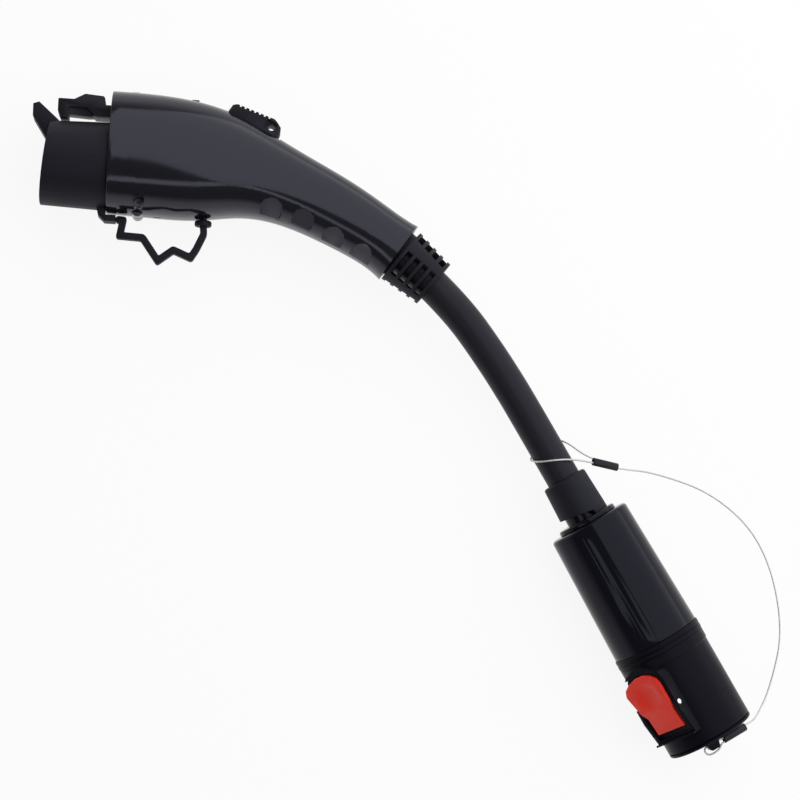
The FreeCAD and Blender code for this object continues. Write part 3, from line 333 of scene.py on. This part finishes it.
def shaded(piece):
    """Smooth shading that keeps the edges steeper than the crease angle."""
    only(piece)
    bpy.ops.object.shade_smooth_by_angle(angle=CREASE)


def stands_for(piece, node):
    """Show the piece in a node's place, with the node's body."""
    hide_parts(node)
    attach(piece, BODY_OF[node])


def softened(node, name, width, segments=2, sharp=30.0):
    """Copy of a CAD piece whose hard edges are rounded as a mould rounds them."""
    piece = copy_of(node, name)
    bpy.ops.object.mode_set(mode="EDIT")
    bpy.ops.mesh.select_all(action="SELECT")
    bpy.ops.mesh.dissolve_limited(angle_limit=FLAT)
    bpy.ops.object.mode_set(mode="OBJECT")
    rounding = piece.modifiers.new("mould rounding", "BEVEL")
    rounding.width = width
    rounding.segments = segments
    rounding.limit_method = "ANGLE"
    rounding.angle_limit = math.radians(sharp)
    rounding.use_clamp_overlap = True
    bpy.ops.object.modifier_apply(modifier=rounding.name)
    shaded(piece)
    stands_for(piece, node)
    return piece


# Finger scoops in the grip: a round flat let into each flank, a little less steep than
# the flank round it, so that it runs out towards the parting line. Each has its place,
# the flank's height there, the flank's slope along X and Y and its depth. The fourth
# scoop of the shell is deep enough as it is.
CUTTER_HEIGHT = 50 * MM
CUTTER_LENGTH = 60 * MM
SCOOP_RADIUS = 5.95 * MM
SCOOP_EASE = 0.88
SCOOPS = [
    (122.8, -21.5, 13.1, 0.16, 1.40, 0.65), (140.8, -26.4, 12.5, 0.35, 1.24, 0.65),
    (158.2, -35.2, 8.9, 0.62, 1.48, 0.65),
]


def scoop_cutter(side, x, y, height, slope_x, slope_y, depth):
    """Round cutter along Z whose end follows the slope of the flank."""
    bpy.ops.mesh.primitive_cylinder_add(vertices=72, radius=SCOOP_RADIUS, depth=CUTTER_LENGTH,
                                        location=(x * MM, y * MM, side * CUTTER_HEIGHT))
    cutter = bpy.context.object
    bpy.ops.object.transform_apply(location=True, rotation=False, scale=False)
    floor_height = height * MM - depth * MM * math.sqrt(1 + slope_x ** 2 + slope_y ** 2)
    for vertex in cutter.data.vertices:
        if side * vertex.co.z < CUTTER_HEIGHT:
            across, up = vertex.co.x - x * MM, vertex.co.y - y * MM
            rise = SCOOP_EASE * (slope_x * across + slope_y * up)
            vertex.co.z = side * (floor_height + rise)
    return cutter


def cut_away(piece, cutters):
    """Take each cutter's shape out of a piece."""
    for cutter in cutters:
        cut = piece.modifiers.new("cut", "BOOLEAN")
        cut.operation = "DIFFERENCE"
        cut.solver = "EXACT"
        cut.object = cutter
        bpy.context.view_layer.objects.active = piece
        bpy.ops.object.modifier_apply(modifier=cut.name)
        bpy.data.objects.remove(cutter)


RIM_REACH = 31.0 * MM
RIM_WIDTH = 0.5 * MM


def round_rim(piece):
    """Round the front rim of a handle half, but not where the halves meet."""
    edit(piece, "EDGE")
    bpy.ops.mesh.select_all(action="DESELECT")
    bpy.ops.mesh.edges_select_sharp(sharpness=math.radians(60))
    leave_edit()
    corners = piece.data.vertices
    for edge in piece.data.edges:
        if edge.select:
            ends = [corners[index].co for index in edge.vertices]
            at_seam = all(abs(end.z) < 0.1 * MM for end in ends)
            edge.select = all(end.x < RIM_REACH for end in ends) and not at_seam
    edit(piece, "EDGE")
    bpy.ops.mesh.bevel(offset=RIM_WIDTH, segments=3, affect="EDGES", clamp_overlap=True)
    leave_edit()


# Parting line: a near-black band of painted shade, for the shade in the gap, that stands out a
# hair where the two halves meet.
SEAM_WIDTH = 0.13 * MM
SEAM_OUT = 0.05 * MM
seam = copy_of("handle_shell_near", "parting_line")
seam.data.materials.clear()
seam.data.materials.append(PAINTED_SEAM_SHADE)
bpy.ops.object.mode_set(mode="EDIT")
bpy.ops.mesh.select_all(action="SELECT")
bpy.ops.mesh.bisect(plane_co=(0.0, 0.0, SEAM_WIDTH), plane_no=(0.0, 0.0, 1.0), clear_outer=True)
bpy.ops.mesh.select_all(action="SELECT")
bpy.ops.transform.shrink_fatten(value=SEAM_OUT)
bpy.ops.object.mode_set(mode="OBJECT")
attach(seam, "adapter")

for node, side in (("handle_shell_near", 1), ("handle_shell_far", -1)):
    shell = copy_of(node, node.replace("shell", "half"))
    cut_away(shell, [scoop_cutter(side, *scoop) for scoop in SCOOPS])
    round_rim(shell)
    shaded(shell)
    stands_for(shell, node)

softened("nose_cap", "dust_cap_rubber", 0.0011, 4, 40.0)
softened("latch_lever", "latch_hook", 0.0004)
softened("thumb_pad", "release_pad", 0.0004)
softened("cable_boot", "strain_relief", 0.00035)
sleeve = softened("cable_sleeve", "rubber_sleeve", 0.0006, 3)
softened("gland_disc", "gland_end_disc", 0.0004, 3)
softened("socket_barrel", "barrel", 0.0006, 3)
softened("coupling_ring", "grooved_ring", 0.00015)
housing = softened("socket_housing", "socket_body", 0.0006, 3)
softened("socket_cap", "end_cap_body", 0.0005, 3)

# The cable sleeve's end reaches close to the gland disc of the socket.
SOCKET_ALONG = Vector((0.5358, -0.8443, 0.0))
SLEEVE_RIM = 1.5 * MM
SLEEVE_STRETCH = 3.5 * MM
sleeve_end = max(vertex.co.dot(SOCKET_ALONG) for vertex in sleeve.data.vertices)
edit(sleeve)
bpy.ops.mesh.select_all(action="DESELECT")
leave_edit()
for vertex in sleeve.data.vertices:
    vertex.select = vertex.co.dot(SOCKET_ALONG) > sleeve_end - SLEEVE_RIM
edit(sleeve)
bpy.ops.transform.translate(value=SOCKET_ALONG * SLEEVE_STRETCH)
leave_edit()

# The lock lever's frame: along the socket, across the lever and out of its face, from the
# centre of its pin.
LEVER_ACROSS = Vector((0.51982, 0.329888, 0.788011))
LEVER_OUT = SOCKET_ALONG.cross(LEVER_ACROSS).normalized()
LEVER_PIN = Vector((0.353764, -0.288519, 0.013792))
LEVER_FRAME = Matrix((
    (SOCKET_ALONG.x, LEVER_ACROSS.x, LEVER_OUT.x, LEVER_PIN.x),
    (SOCKET_ALONG.y, LEVER_ACROSS.y, LEVER_OUT.y, LEVER_PIN.y),
    (SOCKET_ALONG.z, LEVER_ACROSS.z, LEVER_OUT.z, LEVER_PIN.z), (0.0, 0.0, 0.0, 1.0)))

# Past this line on its far side the lever is spread sideways, by a share that grows over
# this run along the socket, from this place in front of the pin.
SPREAD_LINE = -6.0 * MM
SPREAD_START = -3.6 * MM
SPREAD_RUN = 9.4 * MM
SPREAD_SHARE = 0.47
lever = softened("lock_lever", "red_lever", 0.0010, 4)
for vertex in lever.data.vertices:
    spot = LEVER_FRAME.inverted() @ vertex.co
    if spot.y < SPREAD_LINE and spot.x < SPREAD_START:
        share = min(1.0, (SPREAD_START - spot.x) / SPREAD_RUN)
        spot.y = SPREAD_LINE + (spot.y - SPREAD_LINE) * (1 + SPREAD_SHARE * share)
        vertex.co = LEVER_FRAME @ spot

# The housing's rim is cut away beside the lever's wider part.
NOTCH_SIZE = (17.6 * MM, 14.0 * MM, 9.0 * MM)
NOTCH_PLACE = (-12.8 * MM, -14.6 * MM, 3.4 * MM)
bpy.ops.mesh.primitive_cube_add(size=1.0)
notch = bpy.context.object
notch.scale = NOTCH_SIZE
bpy.ops.object.transform_apply(location=False, rotation=False, scale=True)
notch.data.transform(LEVER_FRAME @ Matrix.Translation(NOTCH_PLACE))
cut_away(housing, [notch])
shaded(housing)
softened("crimp_sleeve_cable", "cable_crimp", 0.0003)
softened("crimp_sleeve_cap", "cap_crimp", 0.0003)

# Zigzag strap: a flat strip with sharp folds, and the button at its end. In millimetres.
STRAP_LINE = [
    (36.3, -29.9), (40.4, -30.2), (39.1, -39.0), (51.9, -39.4), (61.1, -52.0),
    (69.4, -45.3), (79.3, -49.2), (82.2, -44.2), (86.0, -35.2), (85.4, -29.6),
]
STRAP_HALF = 1.95
STRAP_THICK = 4.6
STRAP_EDGE = 0.8
OUTER_ARC = 1.8
INNER_ARC = 0.8
BUTTON_RADIUS = 4.8
BUTTON_THICK = 3.4
BUTTON_EDGE = 1.1
BUTTON_PLACE = Vector((85.3, -29.2, 0.0))


def rounded(outline, outer, inner):
    """Closed outline with an arc for each corner, wider where it bulges outward."""
    points = []
    befores, afters = outline[-1:] + outline[:-1], outline[1:] + outline[:1]
    for before, spot, after in zip(befores, outline, afters):
        back, onward = (before - spot).normalized(), (after - spot).normalized()
        bulges = back.x * onward.y - back.y * onward.x > 0
        reach = outer if bulges else inner
        for step in range(7):
            share = step / 6
            lean = back * (1 - share) ** 2 + onward * share ** 2
            points.append(spot + lean * reach)
    return points


def strip_outline(corners, half):
    """Both sides of a bent strip, mitred at its corners, as one closed outline."""
    sides = ([], [])
    for index, corner in enumerate(corners):
        spot = Vector(corner)
        before = Vector(corners[max(index - 1, 0)])
        after = Vector(corners[min(index + 1, len(corners) - 1)])
        ways = [way.normalized() for way in (spot - before, after - spot) if way.length > 0]
        along = sum(ways, Vector((0, 0))).normalized()
        normal = Vector((-along.y, along.x))
        reach = half / max(0.5, abs(along.dot(ways[0])))
        sides[0].append(spot + normal * reach)
        sides[1].append(spot - normal * reach)
    return sides[0] + sides[1][::-1]


data = bpy.data.curves.new("zigzag_strap", "CURVE")
data.dimensions = "2D"
data.fill_mode = "BOTH"
outline = rounded(strip_outline(STRAP_LINE, STRAP_HALF), OUTER_ARC, INNER_ARC)
spline = data.splines.new("POLY")
spline.points.add(len(outline) - 1)
for point, spot in zip(spline.points, outline):
    point.co = (spot.x * MM, spot.y * MM, -0.5 * STRAP_THICK * MM, 1.0)
spline.use_cyclic_u = True
strap = bpy.data.objects.new("zigzag_strap", data)
bpy.context.scene.collection.objects.link(strap)
strap.data.materials.append(CAP_RUBBER)
as_mesh(strap)
bpy.ops.object.mode_set(mode="EDIT")
bpy.ops.mesh.select_all(action="SELECT")
bpy.ops.mesh.remove_doubles(threshold=0.00001)
bpy.ops.mesh.dissolve_limited(angle_limit=math.radians(1))
bpy.ops.mesh.select_all(action="SELECT")
bpy.ops.mesh.extrude_region_move(TRANSFORM_OT_translate={"value": (0.0, 0.0, STRAP_THICK * MM)})
bpy.ops.mesh.select_all(action="SELECT")
bpy.ops.mesh.normals_make_consistent(inside=False)
bpy.ops.mesh.select_mode(type="EDGE")
bpy.ops.mesh.select_all(action="DESELECT")
bpy.ops.mesh.edges_select_sharp(sharpness=math.radians(60))
bpy.ops.mesh.bevel(offset=STRAP_EDGE * MM, segments=3, affect="EDGES", clamp_overlap=True)
bpy.ops.object.mode_set(mode="OBJECT")
bpy.ops.mesh.primitive_cylinder_add(vertices=64, radius=BUTTON_RADIUS * MM,
                                    depth=BUTTON_THICK * MM, location=BUTTON_PLACE * MM,
                                    rotation=(math.radians(90), 0.0, 0.0))
button = bpy.context.object
button.data.materials.append(CAP_RUBBER)
rounding = button.modifiers.new("rounded rim", "BEVEL")
rounding.width = BUTTON_EDGE * MM
rounding.segments = 4
bpy.ops.object.modifier_apply(modifier=rounding.name)
strap.select_set(True)
bpy.context.view_layer.objects.active = strap
bpy.ops.object.join()
bpy.ops.object.shade_smooth_by_angle(angle=CREASE)
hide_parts("nose_cap_strap")
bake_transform(strap)


# Floor, lights and camera.

FLOOR_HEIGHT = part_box("handle_shell_far")[0].z - 0.2 * MM
CENTRE = Vector((0.2016, -0.12275, 0.0))
bpy.ops.mesh.primitive_plane_add(size=8.0, location=(CENTRE.x, CENTRE.y, FLOOR_HEIGHT))
floor = bpy.context.object
floor.name = "white_table"

# A matt white table. To the camera and in mirror images it is plain white for the greater
# part, and the rest keeps the object's shadow.
PLAIN_SHARE = 0.9
white = bpy.data.materials.new("white table")
white.use_nodes = True
tree = white.node_tree
tree.nodes.remove(tree.nodes["Principled BSDF"])
matt = tree.nodes.new("ShaderNodeBsdfDiffuse")
matt.inputs["Color"].default_value = (0.96, 0.96, 0.96, 1.0)
shine = tree.nodes.new("ShaderNodeEmission")
shine.inputs["Color"].default_value = (1.0, 1.0, 1.0, 1.0)
rays = tree.nodes.new("ShaderNodeLightPath")
either = tree.nodes.new("ShaderNodeMath")
either.operation = "MAXIMUM"
share = tree.nodes.new("ShaderNodeMath")
share.operation = "MULTIPLY"
share.inputs[1].default_value = PLAIN_SHARE
blendin = tree.nodes.new("ShaderNodeMixShader")
tree.links.new(rays.outputs["Is Camera Ray"], either.inputs[0])
tree.links.new(rays.outputs["Is Glossy Ray"], either.inputs[1])
tree.links.new(either.outputs["Value"], share.inputs[0])
tree.links.new(share.outputs["Value"], blendin.inputs["Fac"])
tree.links.new(matt.outputs["BSDF"], blendin.inputs[1])
tree.links.new(shine.outputs["Emission"], blendin.inputs[2])
tree.links.new(blendin.outputs["Shader"], tree.nodes["Material Output"].inputs["Surface"])
floor.data.materials.append(white)


def soft_lamp(name, place, aim, long_side, size, radiance):
    """Rectangular soft box at a place, facing its aim, with one side's direction given."""
    data = bpy.data.lights.new(name, "AREA")
    data.shape = "RECTANGLE"
    data.size, data.size_y = size
    data.energy = radiance * math.pi * size[0] * size[1]
    lamp = bpy.data.objects.new(name, data)
    bpy.context.scene.collection.objects.link(lamp)
    back = (Vector(place) - Vector(aim)).normalized()
    right = Vector(long_side)
    right = (right - back * right.dot(back)).normalized()
    up = back.cross(right)
    lamp.matrix_world = Matrix((
        (right.x, up.x, back.x, place[0]), (right.y, up.y, back.y, place[1]),
        (right.z, up.z, back.z, place[2]), (0.0, 0.0, 0.0, 1.0)))
    return lamp


# A broad light lies beyond the upper right of the object, from a sharp edge almost
# overhead down to the horizon. A narrow one stands off to the lower left.
soft_lamp("broad_soft_box", (0.813, 0.448, 0.50), (0.394, 0.163, -0.362), (0.562, -0.827, 0.0),
          (2.6, 1.97), 1.3)
soft_lamp("narrow_soft_box", (-0.10, -0.59, 1.0), (0.20, -0.10, 0.0), (0.97, 0.243, 0.0),
          (1.1, 0.2), 1.5)

# The surround is bright near the horizon and dim overhead.
world = bpy.data.worlds.new("studio")
world.use_nodes = True
sky = world.node_tree.nodes["Background"]
sky.inputs["Color"].default_value = (1.0, 1.0, 1.0, 1.0)
direction = world.node_tree.nodes.new("ShaderNodeTexCoord")
height = world.node_tree.nodes.new("ShaderNodeSeparateXYZ")
falloff = world.node_tree.nodes.new("ShaderNodeMapRange")
falloff.inputs["From Min"].default_value = 0.02
falloff.inputs["From Max"].default_value = 0.34
falloff.inputs["To Min"].default_value = 0.85
falloff.inputs["To Max"].default_value = 0.15
world.node_tree.links.new(direction.outputs["Generated"], height.inputs["Vector"])
world.node_tree.links.new(height.outputs["Z"], falloff.inputs["Value"])
world.node_tree.links.new(falloff.outputs["Result"], sky.inputs["Strength"])
bpy.context.scene.world = world

CAMERA_AWAY = 1.2
CAMERA_TILT = math.radians(8.6)
PHOTO_WIDTH = 0.452
lean = Vector((-0.61, -0.79, 0.0)).normalized()
camera_place = CENTRE + (lean * math.sin(CAMERA_TILT)
                         + Vector((0, 0, math.cos(CAMERA_TILT)))) * CAMERA_AWAY
lens = bpy.data.cameras.new("photo_camera")
lens.sensor_width = 36.0
lens.lens = 36.0 * CAMERA_AWAY / PHOTO_WIDTH
camera = bpy.data.objects.new("photo_camera", lens)
bpy.context.scene.collection.objects.link(camera)
back = (camera_place - CENTRE).normalized()
right = Vector((0.99834, 0.05756, 0.0))
right = (right - back * right.dot(back)).normalized()
up = back.cross(right)
camera.matrix_world = Matrix((
    (right.x, up.x, back.x, camera_place.x), (right.y, up.y, back.y, camera_place.y),
    (right.z, up.z, back.z, camera_place.z), (0.0, 0.0, 0.0, 1.0)))
bpy.context.scene.camera = camera
bpy.context.scene.view_settings.view_transform = "Standard"
